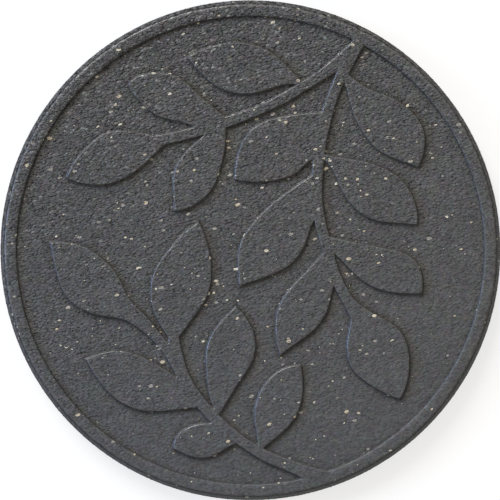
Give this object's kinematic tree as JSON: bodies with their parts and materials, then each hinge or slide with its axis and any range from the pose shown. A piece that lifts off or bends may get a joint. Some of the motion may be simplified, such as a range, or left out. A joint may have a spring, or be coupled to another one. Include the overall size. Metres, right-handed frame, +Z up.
{
  "type": "garden stepping stone",
  "caption": "Round moulded rubber-crumb stepping stone with a raised rim and two leafy sprigs in low relief, laid flat on soil or grass as a step.",
  "frame": {"origin": "middle of the flat underside", "axes": "+Z up out of the decorated face, +Y towards the part of the rim that the larger sprig grows from"},
  "size_m": [0.4499, 0.45, 0.018],
  "materials": {
    "crumb_rubber": "matte, granular, charcoal grey with scattered cream and tan flecks"
  },
  "bodies": {
    "root": {"stepping_stone": "crumb_rubber"}
  },
  "joints": []
}
